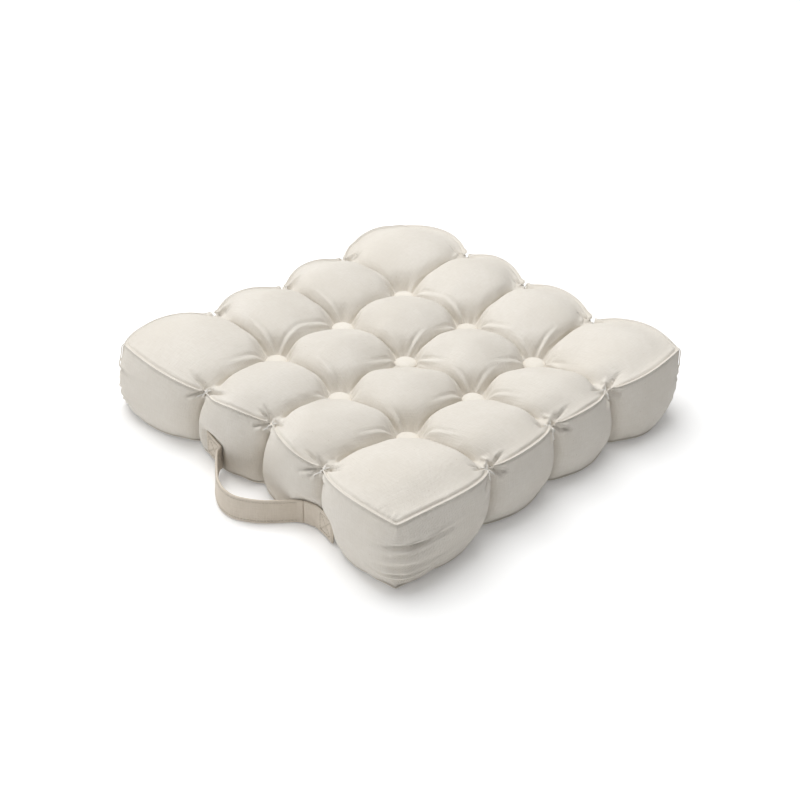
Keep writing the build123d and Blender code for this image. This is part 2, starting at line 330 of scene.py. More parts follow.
def band_rows(u, v, upper, lower):
    """The band's rows between the two rims: bulging, with creases at the ties."""
    top_slip, base_slip = np.array(slips(u, v, 0)), np.array(slips(u, v, 1))
    along_crease = np.where(ON_X, crease_share(v), crease_share(u))
    a = cell_place(np.where(ON_X, v, u) * 0.999999)
    fuller = 4 * FLANK * (a**2 - a**4)
    rows = []
    for k in range(1, BAND_STEPS):
        t = down_share(k)
        row = upper * (1 - t) + lower * t
        slip_x, slip_y = top_slip * (1 - t) + base_slip * t
        z = row[:, 2]
        out_x = side_out(row[:, 1] - slip_y, z)
        out_y = side_out(row[:, 0] - slip_x, z)
        swing = math.sin(math.pi * t)
        cut = SIDE_CUT * along_crease * swing**0.5 - fuller * swing
        corner = BAND_CORNER + 3 * MM * swing
        place_x = np.sign(u) * np.where(ON_Y, corner, out_x - cut) + slip_x
        place_y = np.sign(v) * np.where(ON_X, corner, out_y - cut) + slip_y
        row[:, 0] = np.where(ON_X, place_x, row[:, 0])
        row[:, 1] = np.where(ON_Y, place_y, row[:, 1])
        rows.append(row)
    return rows


def build_shell():
    """The closed cover. Gives places, faces and flat cloth coordinates of the faces' corners."""
    panels = []
    for level, rim_height, height in ((0, RIM_TOP, top_height), (1, RIM_BASE, base_height)):
        x, y = panel_plan(rim_height)
        dx, dy = slips(U, V, level)
        panels.append(np.stack([x + dx, y + dy, height(U, V)], axis=-1))
    top, base = panels
    places = np.concatenate([top.reshape(-1, 3), base[THERE], *band_rows(U[WALK], V[WALK], top[WALK], base[WALK])])

    faces, flat = [], []
    for i in range(LAST):
        for j in range(LAST):
            corners = ((i, j), (i + 1, j), (i + 1, j + 1), (i, j + 1))
            faces.append([TOP_ID[c] for c in corners])
            flat.append([(U[c] * CELL_CLOTH, V[c] * CELL_CLOTH) for c in corners])
    ring = ((0, 0), (0, 1), (0, 2), (1, 2), (2, 2), (2, 1), (2, 0), (1, 0))
    for i in range(0, LAST, 2):
        for j in range(0, LAST, 2):
            corners = [(i + a, j + b) for a, b in ring if THERE[i + a, j + b]]
            faces.append([BASE_ID[c] for c in corners])
            flat.append([(U[c] * CELL_CLOTH, -V[c] * CELL_CLOTH) for c in corners])
    one_side = line_shares()[:-1] + 2
    walked = np.concatenate([one_side + 4 * side for side in range(4)] + [[16]])
    for k in range(BAND_STEPS):
        lo, hi = down_share(k + 1) * BAND_CLOTH, down_share(k) * BAND_CLOTH
        for w in range(4 * LAST):
            after = (w + 1) % (4 * LAST)
            faces.append([BAND_ID[k + 1, w], BAND_ID[k + 1, after], BAND_ID[k, after], BAND_ID[k, w]])
            s, e = walked[w] * CELL_CLOTH, walked[w + 1] * CELL_CLOTH
            flat.append([(s, -lo), (e, -lo), (e, -hi), (s, -hi)])
    return places, faces, flat


# --- the cover swells

FRAMES = 20
FREE_RISE = 16 * MM  # the furthest that a point may move
CELL_GAP = 0.3 * MM  # kept between a cell's cloth and its crease
SPARE = 0.03  # spare cloth in each direction
HELD_R = 11.5 * MM  # of the cloth that a button holds
ON_FLOOR = 1 * MM  # the base is held on the floor up to this height
CLOTH = {
    "quality": 6, "mass": 0.3, "air_damping": 2, "shrink_min": -SPARE, "shrink_max": -SPARE,
    "tension_stiffness": 20, "compression_stiffness": 20, "shear_stiffness": 8, "bending_stiffness": 2,
    "use_pressure": True, "uniform_pressure_force": 5.0, "vertex_group_mass": "pins", "pin_stiffness": 1,
}


def hold_weights(count):
    """How firmly each point is held: buttons, ties and the face on the floor fully, creases and seams less."""
    weights = np.zeros(count)
    tuft = np.isin(np.arange(LINES), TUFT_LINES)
    line = tuft[:, None] | tuft[None, :]
    rim = (abs(U) == 2) | (abs(V) == 2)
    held = np.zeros((LINES, LINES), bool)
    for points, radius in ((TUFTS, HELD_R), (TIES, 1 * MM)):
        for a, b in points:
            held |= np.hypot(U - a, V - b) * PITCH < radius
    for ids, there, at_rim in ((TOP_ID, True, 0.25), (BASE_ID, THERE, 0.3)):
        weights[ids[there & line]] = 0.9
        weights[ids[there & rim]] = at_rim
        weights[ids[there & held]] = 1
    weights[BASE_ID[THERE & (base_height(U, V) < ON_FLOOR)]] = 1
    crease = np.isin(np.where(ON_X, WALK[1], WALK[0]), TUFT_LINES)
    joined, folded = (0, 2 * LAST), (LAST, 3 * LAST)  # the band's corners
    weights[BAND_ID[1:-1][:, crease]] = 0.9
    weights[BAND_ID[:, joined]] = 0.9
    weights[BAND_ID[0, folded]] = 0.9
    weights[BAND_ID[:, folded]] = np.maximum(weights[BAND_ID[:, folded]], 0.4)
    return weights


def swell(obj, weights):
    """Lets the cover swell under a little pressure, held at its pins, with some cloth to spare."""
    pins = obj.vertex_groups.new(name="pins")
    for k in np.flatnonzero(weights):
        pins.add([int(k)], float(weights[k]), "REPLACE")
    modifier = obj.modifiers.new("cloth", "CLOTH")
    for key, value in CLOTH.items():
        setattr(modifier.settings, key, value)
    modifier.settings.effector_weights.gravity = 0
    modifier.collision_settings.use_collision = False
    modifier.point_cache.frame_start, modifier.point_cache.frame_end = 1, FRAMES
    scene = bpy.context.scene
    scene.frame_start, scene.frame_end = 1, FRAMES
    for f in range(1, FRAMES + 1):
        scene.frame_set(f)
    places = read(obj.evaluated_get(bpy.context.evaluated_depsgraph_get()).to_mesh().vertices, "co")
    obj.modifiers.remove(modifier)
    obj.vertex_groups.remove(pins)
    return places


def keep_apart(places, ids, axis):
    """Stops each cell at its creases, where it meets its neighbour: rows of ids run along the given axis."""
    for row in ids:
        row = row[row >= 0]
        step = (len(row) - 1) // 4
        values = places[row, axis]
        marks = [values[step * n] for n in range(5)]
        turn = 1 if marks[4] > marks[0] else -1
        for n in range(4):
            inside = slice(step * n + 1, step * (n + 1))
            low = marks[n] + turn * CELL_GAP if n > 0 else -turn
            high = marks[n + 1] - turn * CELL_GAP if n < 3 else turn
            values[inside] = np.clip(values[inside], min(low, high), max(low, high))
        places[row, axis] = values


def settle(places, start):
    """Caps how far the cloth has moved, keeps the cells apart and rests the pad on the floor."""
    moved = places - start
    far = np.maximum(lengths(moved) / FREE_RISE, 1e-9)
    places = start + moved * (np.tanh(far) / far)
    keep_apart(places, TOP_ID.T, 0)
    keep_apart(places, TOP_ID, 1)
    keep_apart(places, BASE_ID[:, 2:-2:2].T, 0)
    keep_apart(places, BASE_ID[2:-2:2, :], 1)
    for row in BAND_ID:
        ring = np.append(row, row[0])
        for side in range(4):
            keep_apart(places, ring[None, side * LAST : side * LAST + LINES], side % 2)
    places[:, 2] = np.maximum(places[:, 2], 0)
    return places


def grid_shares(count):
    """Each point's shares along X and Y, and how far down the band it is: 0 on top, 1 underneath."""
    shares = np.zeros((count, 3))
    for k, row in enumerate(BAND_ID):
        shares[row] = np.column_stack([U[WALK], V[WALK], np.full(len(row), down_share(k))])
    shares[TOP_ID] = np.stack([U, V, np.zeros_like(U)], axis=-1)
    shares[BASE_ID[THERE]] = np.column_stack([U[THERE], V[THERE], np.ones(THERE.sum())])
    return shares


def shares_of(mesh):
    """Each point's place on the cover: shares along X and Y, and how far down the band it is."""
    return read(mesh.attributes["share"].data, "vector")


def relax(places, faces, firm, rounds):
    """Eases small crumples out of the cloth: each point moves half way to its neighbours' middle."""
    pairs = set()
    for face in faces:
        for a, b in zip(face, face[1:] + face[:1]):
            pairs.add((min(a, b), max(a, b)))
    pairs = np.array(list(pairs))
    ends = np.concatenate([pairs, pairs[:, ::-1]])
    count = np.bincount(ends[:, 0], minlength=len(places))[:, None]
    ease = 0.5 * clip(1 - firm)[:, None]
    for _ in range(rounds):
        total = np.zeros_like(places)
        for axis in range(3):
            total[:, axis] = np.bincount(ends[:, 0], places[ends[:, 1], axis], len(places))
        places = places + ease * (total / count - places)
    return places


# How far the slopes round each top pocket have sunk, in mm: in full on the side towards the front right, less on
# the other. Rows run from the front to the back.
POCKET_DROPS = {
    (-1, -1): 6, (0, -1): 7, (1, -1): 4,
    (-1, 0): 9, (0, 0): 13, (1, 0): 6,
    (-1, 1): 7, (0, 1): 7, (1, 1): 11,
}
# How far some cells have slumped at their middle, in mm, each named by its corner at the front left.
CELL_DROPS = {(-2, 1): 6, (-2, 0): 3, (-2, -1): 2, (-1, 1): 3, (0, 1): 3, (1, 1): 4}


def sink(places, shares):
    """Opens the pockets round the top buttons, most towards the front right, and lets the slack cells down."""
    u, v, t = shares.T
    drop = np.zeros(len(places))
    for (a, b), size in POCKET_DROPS.items():
        r = np.hypot(u - a, v - b) * PITCH / MM
        to_front = ((u - a) - (v - b)) * PITCH / MM / np.maximum(r, 1) / math.sqrt(2)
        slack = 0.3 + 0.7 * soft_step((to_front + 0.2) / 1.1)
        drop = np.maximum(drop, slack * size * MM * soft_step((r - 12) / 14) * soft_step((80 - r) / 52))
    for (a, b), size in CELL_DROPS.items():
        across, along = 2 * (u - a) - 1, 2 * (v - b) - 1
        drop += size * MM * np.sqrt(clip(1 - across**2) * clip(1 - along**2))
    places = places.copy()
    places[:, 2] -= drop * (t == 0) * soft_step((places[:, 2] - 62 * MM) / (18 * MM))
    return places


def firm_edges(mesh):
    """Keeps the sewn seams crisp when the cover is subdivided."""
    shares = shares_of(mesh)
    ends = read(mesh.edges, "vertices", 2, int)
    a, b = shares[ends[:, 0]], shares[ends[:, 1]]
    rim = (abs(a[:, :2]).max(axis=1) == 2) & (abs(b[:, :2]).max(axis=1) == 2)
    level = (a[:, 2] == b[:, 2]) & ((a[:, 2] == 0) | (a[:, 2] == 1))
    corner = (abs(a[:, :2]).min(axis=1) == 2) & (abs(b[:, :2]).min(axis=1) == 2)
    joined = corner & (a[:, 0] * a[:, 1] > 0)
    crease = mesh.attributes.new("crease_edge", "FLOAT", "EDGE")
    crease.data.foreach_set("value", np.where(rim & level, 0.9, np.where(joined, 0.8, 0.0)))


def make_cover():
    """The swollen cover as one closed mesh, subdivided once, with its flat cloth coordinates in a UV map."""
    places, faces, flat = build_shell()
    mesh = bpy.data.meshes.new("cushion_cover")
    mesh.from_pydata(places.tolist(), [], faces)
    mesh.update()
    share = mesh.attributes.new("share", "FLOAT_VECTOR", "POINT")
    share.data.foreach_set("vector", grid_shares(len(places)).ravel())
    weave = mesh.uv_layers.new(name="weave")
    weave.data.foreach_set("uv", np.array([c for face in flat for c in face]).ravel())
    cover = bpy.data.objects.new("cushion_cover", mesh)
    bpy.context.scene.collection.objects.link(cover)
    weights = hold_weights(len(places))
    start = places
    places = relax(swell(cover, weights), faces, weights * 1.2, 3)
    places = sink(settle(places, start), shares_of(mesh))
    mesh.vertices.foreach_set("co", places.ravel())
    mesh.update()
    firm_edges(mesh)
    smooth = cover.modifiers.new("smooth", "SUBSURF")
    smooth.levels = smooth.render_levels = 1
    graph = bpy.context.evaluated_depsgraph_get()
    fine = bpy.data.meshes.new_from_object(cover.evaluated_get(graph), depsgraph=graph)
    cover.modifiers.remove(smooth)
    cover.data = fine
    bpy.data.meshes.remove(mesh)
    fine.name = "cushion_cover"
    fine.polygons.foreach_set("use_smooth", np.ones(len(fine.polygons), bool))
    return cover


cover = make_cover()

# --- folds, puckers and seams in the cloth

rng = np.random.default_rng(7)

# The fans of folds from a tie: (lean, size) of each fold, range of length and of height, and width, in mm.
PANEL_FAN = ((0.22, 1.0), (0.6, 0.8), (1.15, 0.5)), (20, 34), (4.4, 6.0), 1.5
BAND_FAN = ((0.25, 1.0), (0.7, 0.8), (1.4, 0.5)), (18, 30), (3.4, 5.0), 1.9
# Creases across a corner of the band: height and reach in mm, and depth as a share.
CORNER_CREASES = ((57, 34, 1.0), (49, 22, 0.6), (24, 40, 1.0), (15, 30, 1.1), (36, 24, 0.5), (7, 22, 0.8))
CORNER_OUT, CORNER_DEPTH = 255 * MM, 5.2  # how far out on the diagonal they lie, and their full depth in mm
GATHERS, GATHER_RISE = 9, 0.9 * MM  # round each button
FOLD_WIDTH = 1.7 * MM  # of the folds beside the creases
LINE_WIDTH = 1.5 * MM  # of the line at the bottom of a crease
PANEL_LINE, BAND_LINE = 3.2 * MM, 2.2 * MM  # that line's depth
PANEL_GROOVE, BAND_GROOVE, SEAM_ROLL = 2.0 * MM, 0.9 * MM, 0.3 * MM  # depth beside the seams, and the roll next to it
DEEPEST, HIGHEST = -6.5 * MM, 4 * MM  # that folds may move the cloth


def valley(d, width, ridge):
    """A narrow valley at d = 0, with a soft ridge beside it."""
    return ridge * bump((d - 1.8 * width) / (1.3 * width)) - bump(d / width)


def fold(co, normal, start, toward, up, length, width, height, curve=0.0):
    """Height along each normal of one fold: a narrow valley with a soft ridge beside it, tapering to its end."""
    toward = unit(toward)
    side = unit(np.cross(up, toward))
    from_start = co - start
    t = from_start @ toward / length
    d = from_start @ side - curve * clip(t) ** 2
    window = clip(t * 8 + 1) * clip((1 - t) * 2.2)
    near = (abs(from_start @ up) < 0.6 * length) & (normal @ up > 0.1)
    return height * window * near * valley(d, width, 0.45)


def tie_frame(a, b, co, ids):
    """A tie's place, with the directions along the rim and inward over the panel."""
    i, j = round((a + 2) * STEPS), round((b + 2) * STEPS)
    inward = np.array([-np.sign(a) if abs(a) == 2 else 0, -np.sign(b) if abs(b) == 2 else 0, 0.0])
    along = np.array([-inward[1], inward[0], 0.0])
    return co[ids[i, j]], along, inward


def tie_puckers(co, normal):
    """Short, sharp folds that fan out from every tie, over the panel and down the band."""
    rise = np.zeros(len(co))
    for a, b in TIES:
        place, along, inward = tie_frame(a, b, co, TOP_ID)
        over = (*PANEL_FAN, inward, 0.25 * UP, unit(UP - 0.35 * inward))
        down = (*BAND_FAN, DOWN, -0.2 * inward, unit(-inward))
        for sign in (-1, 1):
            for folds, reach, tall, width, way, tilt, up in (over, down):
                for lean, size in folds:
                    toward = sign * along + (lean + rng.uniform(-0.08, 0.08)) * way + tilt
                    length = size * rng.uniform(*reach) * MM
                    height = size * rng.uniform(*tall) * MM
                    rise += fold(co, normal, place, toward, up, length, width * MM, height, sign * 3 * MM)
    return rise


def crease_folds(shares):
    """Second folds that run beside the creases from the buttons, a little away from the crease."""
    rise = np.zeros(len(shares))
    for a, b in TUFTS:
        from_tuft = (shares[:, :2] - (a, b)) * PITCH
        for quarter in range(4):
            turn = quarter * math.pi / 2
            toward = np.array([math.cos(turn), math.sin(turn)])
            side = np.array([-toward[1], toward[0]])
            for sign in (-1, 1):
                offset, slant = rng.uniform(6, 9) * MM, rng.uniform(0.02, 0.16)
                length, height = rng.uniform(34, 74) * MM, rng.uniform(1.4, 3.4) * MM
                if rng.uniform() < 0.3:
                    continue
                s, d = from_tuft @ toward, sign * (from_tuft @ side)
                window = clip((s - 8 * MM) / (10 * MM)) * clip((length - s) / (0.6 * length))
                window = window * (d > 0) * (shares[:, 2] == 0)
                line = offset + slant * s
                ridge = 0.9 * bump((d - line + 1.6 * FOLD_WIDTH) / (1.2 * FOLD_WIDTH))
                rise += height * window * (ridge - bump((d - line) / FOLD_WIDTH))
    return rise


def pocket_puckers(shares):
    """Fine gathers around every button, top and base."""
    rise = np.zeros(len(shares))
    for a, b in TUFTS:
        du, dv = (shares[:, 0] - a) * PITCH, (shares[:, 1] - b) * PITCH
        r, angle = np.hypot(du, dv), np.arctan2(dv, du)
        near = bump((r - 15 * MM) / (7 * MM)) * (r < 40 * MM)
        turn, second = rng.uniform(0, 6.3, 2)
        rise += GATHER_RISE * near * np.cos(GATHERS * angle + turn + 0.8 * np.sin(2 * angle + second))
    return rise


def corner_wrinkles(co, normal, shares):
    """Creases across the band at the four corners, and short pleats beside the seam on the panel."""
    rise = np.zeros(len(co))
    t = shares[:, 2]
    for sx, sy, share in ((1, -1, 1.0), (1, 1, 0.35), (-1, -1, 0.6), (-1, 1, 0.7)):
        across = (sx * co[:, 0] - sy * co[:, 1]) / math.sqrt(2)
        out = (sx * co[:, 0] + sy * co[:, 1]) / math.sqrt(2)
        near = (out > CORNER_OUT) & (t > 0) & (t < 1)
        for low, reach, tall in CORNER_CREASES:
            z = low * MM + rng.uniform(-2, 2) * MM + rng.uniform(-0.08, 0.08) * across
            middle = rng.uniform(-7, 7) * MM
            window = bump((across - middle) / (reach * MM))
            d = co[:, 2] - z
            shape = valley(d, rng.uniform(1.8, 2.4) * MM, 0.8)
            rise += near * window * shape * share * tall * CORNER_DEPTH * MM
        corner = co[TOP_ID[LAST if sx > 0 else 0, LAST if sy > 0 else 0]]
        for n in range(4):
            start = corner + np.array([-sx * (3 + 6 * n) * MM, -sy * 1 * MM, 0])
            toward = np.array([-sx * rng.uniform(0.3, 0.9), -sy * 1.0, 0.25])
            length = rng.uniform(9, 17) * MM
            rise += share * fold(co, normal, start, toward, UP, length, 1.8 * MM, 1.1 * MM)
    return rise


def seam_lines(shares):
    """The grooves where the panels and the band are sewn together, with a soft roll on each side."""
    u, v, t = abs(shares).T
    band = (t > 1e-4) & (t < 1 - 1e-4)
    to_seam = np.where(band, np.minimum(t, 1 - t) * BAND_CLOTH, (2 - np.maximum(u, v)) * PITCH)
    joined = band & (shares[:, 0] * shares[:, 1] > 0)
    distance = np.where(joined, np.minimum(to_seam, (2 - np.minimum(u, v)) * PITCH), to_seam)
    depth = np.where(band, BAND_GROOVE, PANEL_GROOVE)
    return SEAM_ROLL * bump((distance - 5 * MM) / (2 * MM)) - depth * bump((distance - 2 * MM) / (1.2 * MM))


def crease_lines(shares):
    """The narrow line at the bottom of every crease, over the panels and down the band."""
    u, v, t = shares.T

    def on_line(a):
        return bump(abs(a - np.round(a)) * PITCH / LINE_WIDTH) * (abs(np.round(a)) < 2)

    def line(a, b):
        """Along the tuft lines of a, away from the buttons and ties that stand at whole shares of b."""
        return on_line(a) * soft_step((abs(b - np.round(b)) * PITCH - 14 * MM) / (8 * MM))

    over_panels = np.maximum(line(u, v), line(v, u)) * np.where(t == 0, 1, 0.7) * ((t == 0) | (t == 1))
    down_band = on_line(np.where(abs(u) > abs(v), v, u)) * (t > 0) * (t < 1)
    return -PANEL_LINE * over_panels - BAND_LINE * down_band * soft_step(np.minimum(t, 1 - t) / 0.2)


def finished_points(mesh):
    """The cover's points with all its folds, puckers and seams pressed in."""
    shares = shares_of(mesh)
    co, normal = read(mesh.vertices, "co"), read(mesh.vertices, "normal")
    rise = tie_puckers(co, normal) + crease_folds(shares)
    rise += pocket_puckers(shares) + corner_wrinkles(co, normal, shares)
    rise += seam_lines(shares) + crease_lines(shares)
    co = co + normal * np.clip(rise, DEEPEST, HIGHEST)[:, None]
    co[:, 2] = np.maximum(co[:, 2], 0)
    return co


cover_points = finished_points(cover.data)

# --- builders

STITCH, STITCH_GAP, THREAD_R = 2.8 * MM, 0.8 * MM, 0.5 * MM


def add_piece(name, vertices, faces, body, corner_uv=None):
    """A mesh piece, attached to its body if one is given. UVs are flat cloth places in metres."""
    mesh = bpy.data.meshes.new(name)
    mesh.from_pydata(np.asarray(vertices).tolist(), [], faces)
    mesh.update()
    if corner_uv is not None:
        mesh.uv_layers.new(name="weave").data.foreach_set("uv", np.asarray(corner_uv).ravel())
    mesh.polygons.foreach_set("use_smooth", np.ones(len(mesh.polygons), bool))
    obj = bpy.data.objects.new(name, mesh)
    bpy.context.scene.collection.objects.link(obj)
    if body:
        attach(obj, body)
    return obj


def smooth_line(points, count):
    """Points spaced evenly along a smooth curve through a few given points."""
    p = np.asarray(points, float)
    p = np.vstack([2 * p[0] - p[1], p, 2 * p[-1] - p[-2]])
    t = np.linspace(0, 1, 24, endpoint=False)[:, None]
    fine = []
    for a, b, c, d in zip(p[:-3], p[1:-2], p[2:-1], p[3:]):
        fine.append(0.5 * (2 * b + (c - a) * t + (2 * a - 5 * b + 4 * c - d) * t**2 + (3 * b - a - 3 * c + d) * t**3))
    fine = np.vstack([*fine, p[-2:-1]])
    run = run_along(fine)
    even = np.linspace(0, run[-1], count)
    return np.column_stack([np.interp(even, run, fine[:, k]) for k in range(fine.shape[1])])


class Tubes:
    """Collects round runs of thread or twine into one mesh."""

    def __init__(self):
        self.vertices, self.faces, self.total = [], [], 0

    def run(self, path, radius, sides=8, closed=False):
        """One run along a path. Its open ends are rounded off."""
        path = np.asarray(path, float)
        ahead = np.roll(path, -1, axis=0) - np.roll(path, 1, axis=0)
        if not closed:
            ahead[0], ahead[-1] = path[1] - path[0], path[-1] - path[-2]
        ahead /= lengths(ahead)
        normal = np.cross(ahead[0], UP if abs(ahead[0][2]) < 0.9 else [1, 0, 0])
        turn = np.linspace(0, 2 * math.pi, sides, endpoint=False)
        rings = []
        for place, axis in zip(path, ahead):
            normal = unit(normal - axis * (normal @ axis))
            other = np.cross(axis, normal)
            rings.append(place + radius * (np.cos(turn)[:, None] * normal + np.sin(turn)[:, None] * other))
        rings = np.array(rings)
        if not closed:
            first = path[0] - ahead[0] * radius * 0.6 + 0.5 * (rings[0] - path[0])
            last = path[-1] + ahead[-1] * radius * 0.6 + 0.5 * (rings[-1] - path[-1])
            rings = np.concatenate([first[None], rings, last[None]])
        n, base = len(rings), self.total
        self.vertices.append(rings.reshape(-1, 3))
        self.total += n * sides
        for k in range(n if closed else n - 1):
            here, there = base + k * sides, base + (k + 1) % n * sides
            for s in range(sides):
                after = (s + 1) % sides
                self.faces.append([here + s, here + after, there + after, there + s])
        if not closed:
            self.faces.append([base + s for s in reversed(range(sides))])
            self.faces.append([base + (n - 1) * sides + s for s in range(sides)])

    def stitches(self, path, lift):
        """A row of stitches: short threads along a path, each arched over the cloth and dipping into it."""
        path = np.asarray(path, float)
        run = run_along(path)
        arch = np.array([-0.9, 0.3, 0.6, 0.3, -0.9])[:, None]
        for n in range(max(1, int(run[-1] / (STITCH + STITCH_GAP)))):
            ends = np.linspace(0.06, 0.94, 5) * STITCH + n * (STITCH + STITCH_GAP) + STITCH_GAP / 2
            places = np.column_stack([np.interp(ends, run, path[:, k]) for k in range(3)])
            self.run(places + arch * lift * THREAD_R, THREAD_R, sides=6)

    def piece(self, name, body, slot):
        return add_piece(name, np.vstack(self.vertices), self.faces, body)


def cloth_strip(grid, thickness):
    """A closed strip of folded cloth about a middle surface, with rounded edges: axis 0 along, axis 1 across."""
    along, across = np.gradient(grid, axis=0), np.gradient(grid, axis=1)
    normal = np.cross(along, across)
    normal /= np.linalg.norm(normal, axis=2)[:, :, None]
    n, m, _ = grid.shape
    outer, inner = grid + normal * thickness / 2, grid - normal * thickness / 2
    edge_low = grid[:, 0] - 0.45 * thickness * across[:, 0] / lengths(across[:, 0])
    edge_high = grid[:, -1] + 0.45 * thickness * across[:, -1] / lengths(across[:, -1])
    ring = np.concatenate([outer, edge_high[:, None], inner[:, ::-1], edge_low[:, None]], axis=1)
    size = ring.shape[1]
    run, height = run_along(grid[:, m // 2]), run_along(ring[0])
    height = np.append(height, height[-1] + thickness / 2)
    faces, uv = [], []
    for k in range(n - 1):
        for s in range(size):
            after = (s + 1) % size
            faces.append([k * size + s, (k + 1) * size + s, (k + 1) * size + after, k * size + after])
            uv += [(run[k], height[s]), (run[k + 1], height[s]), (run[k + 1], height[s + 1]), (run[k], height[s + 1])]
    for k, turned in ((0, False), (n - 1, True)):
        ids = [k * size + s for s in range(size)]
        for s in range(size // 2):
            quad = [ids[s], ids[(s + 1) % size], ids[-(s + 2)], ids[-(s + 1)]]
            if len(set(quad)) == 4:
                faces.append(quad[::-1] if turned else quad)
                uv += [(0, height[s])] * 4
    return ring.reshape(-1, 3), faces, uv, outer


# --- the handle, sewn into the band

STRAP_TALL, STRAP_THICK = 28 * MM, 2.4 * MM
STRAP_LIFT = 1.6 * MM  # of the loop's lower edge off the floor
ACROSS = 17  # places across the strap
LEFT_PLACES, RIGHT_PLACES, LOOP_PLACES = 28, 46, 96  # along each part of the strap
RIGHT_BOX = 20  # the place along the right end at which its sewn box starts
LOOP_LEAN = 2.5 * MM  # of the loop's top edge past its lower one
BOX_EDGE = 0.11  # from the strap's edges to the sewn box, of the strap's width

# Plan points of the strap in mm, from left to right.
LEFT_POINTS = ((-83, -227), (-68, -230.5), (-52, -234))
RIGHT_POINTS = ((78, -231.5), (86, -229.5), (94, -228), (108, -230), (124, -234))
LOOP_POINTS = (
    (-52, -236), (-49, -242), (-42, -249.5), (-31, -259), (-20, -268), (-8, -275), (5, -279),
    (20, -278.5), (34, -272), (46, -263.5), (58, -251), (69, -238), (76, -232.5),
)


def strap_plan(points, count):
    return smooth_line([(x * MM, y * MM) for x, y in points], count)


def press_in(places, plan, low):
    """Presses the side of the cover in behind a sewn end, along the plan of the strip that holds it."""
    x, z = places[:, 0], places[:, 2]
    start, end = plan[0, 0], plan[-1, 0]
    near_x = clip(1 - (start - x) / (14 * MM)) * clip(1 - (x - end) / (14 * MM))
    near_z = clip(1 - (z - low - STRAP_TALL) / (16 * MM))
    share = soft_step(near_x * near_z * (places[:, 1] < -0.17))
    behind = np.interp(x, plan[:, 0], plan[:, 1]) + 0.65 * STRAP_THICK
    places[:, 1] += share * np.maximum(behind - places[:, 1], 0)


def front_of_cover(x, z):
    """Where a line from the front meets the cover, at a place along its handle side and a height."""
    hit, _, _, _ = cover_tree.ray_cast(Vector((x, -0.4, z)), Vector((0, 1, 0)))
    return hit.y if hit else -0.2


def against_cover(plan, low):
    """A strip's middle surface along plan points: it bridges the hollows and rests on the cover elsewhere."""
    grid = np.zeros((len(plan), ACROSS, 3))
    for k, (x, y) in enumerate(plan):
        for h in range(ACROSS):
            z = low[k] + STRAP_TALL * h / (ACROSS - 1)
            grid[k, h] = (x, min(y, front_of_cover(x, z) - 0.55 * STRAP_THICK), z)
    for _ in range(3):
        grid[1:-1, :, 1] = np.minimum(grid[1:-1, :, 1], (grid[:-2, :, 1] + grid[2:, :, 1]) / 2)
    return grid


def free_loop(left_end, right_end):
    """The loop's middle surface: it leans out a little at its top edge and joins the two sewn ends."""
    plan = strap_plan(LOOP_POINTS, LOOP_PLACES)
    lowered = soft_step(np.linspace(0, 1, LOOP_PLACES) / 0.22)
    low = 5 * MM * (1 - lowered) + STRAP_LIFT * lowered
    grid = np.zeros((LOOP_PLACES, ACROSS, 3))
    for h in range(ACROSS):
        share = h / (ACROSS - 1)
        lean = LOOP_LEAN * (share - 0.5) * np.sin(np.linspace(0, math.pi, LOOP_PLACES))
        grid[:, h] = np.column_stack([plan[:, 0], plan[:, 1] + lean, low + STRAP_TALL * share])
    grid[0] = left_end + np.array([0.5 * MM, -1 * MM, 0])
    grid[1] = 0.5 * (grid[0] + grid[2])
    grid[-1] = right_end + np.array([0, -0.6 * MM, 0])
    grid[-2] = 0.5 * (grid[-1] + grid[-3])
    return grid


def press_box(grid):
    """Presses a strip in along the lines of its box and cross, and puffs it up a little between them."""
    n, m, _ = grid.shape
    s, t = np.meshgrid(np.linspace(0, 1, n), np.linspace(0, 1, m), indexing="ij")
    wide = np.linalg.norm(grid[-1, 0] - grid[0, 0])
    from_ends = np.minimum(s - 0.08, 0.92 - s) * wide
    from_edge = np.minimum(from_ends, np.minimum(t - BOX_EDGE, 1 - BOX_EDGE - t) * STRAP_TALL)
    from_cross = np.minimum(abs(s - t), abs(s + t - 1)) * min(wide, STRAP_TALL) * 0.7
    distance = np.minimum(abs(from_edge), np.where(from_edge > 0, from_cross, 1))
    grid[:, :, 1] += 0.8 * MM * bump(distance / (1.3 * MM)) - 0.4 * MM


def rows_on(face, low_share, high_share):
    """A path along a strip's face, between two heights given as shares of its width."""
    n, m, _ = face.shape
    share = np.linspace(low_share, high_share, n) * (m - 1)
    low = np.floor(share).astype(int).clip(0, m - 2)
    part = (share - low)[:, None]
    k = np.arange(n)
    return face[k, low] * (1 - part) + face[k, low + 1] * part


def box_stitches(tubes, face, lift):
    """A sewn box with a cross in it."""
    inner = face[2 : len(face) - 2]
    low, high = BOX_EDGE, 1 - BOX_EDGE
    for start, end in ((low, low), (high, high), (low, high), (high, low)):
        tubes.stitches(rows_on(inner, start, end), lift)
    for column in (inner[0], inner[-1]):
        tubes.stitches(column[1:-1], lift)


left_plan, right_plan = strap_plan(LEFT_POINTS, LEFT_PLACES), strap_plan(RIGHT_POINTS, RIGHT_PLACES)
left_low = np.linspace(6 * MM, 5 * MM, LEFT_PLACES)
right_low = np.linspace(2 * MM, 3 * MM, RIGHT_PLACES)
press_in(cover_points, left_plan, left_low[0])
press_in(cover_points, right_plan, right_low[-1])
cover.data.vertices.foreach_set("co", cover_points.ravel())
cover.data.update()
cover_tree = BVHTree.FromPolygons(cover_points.tolist(), [list(p.vertices) for p in cover.data.polygons])

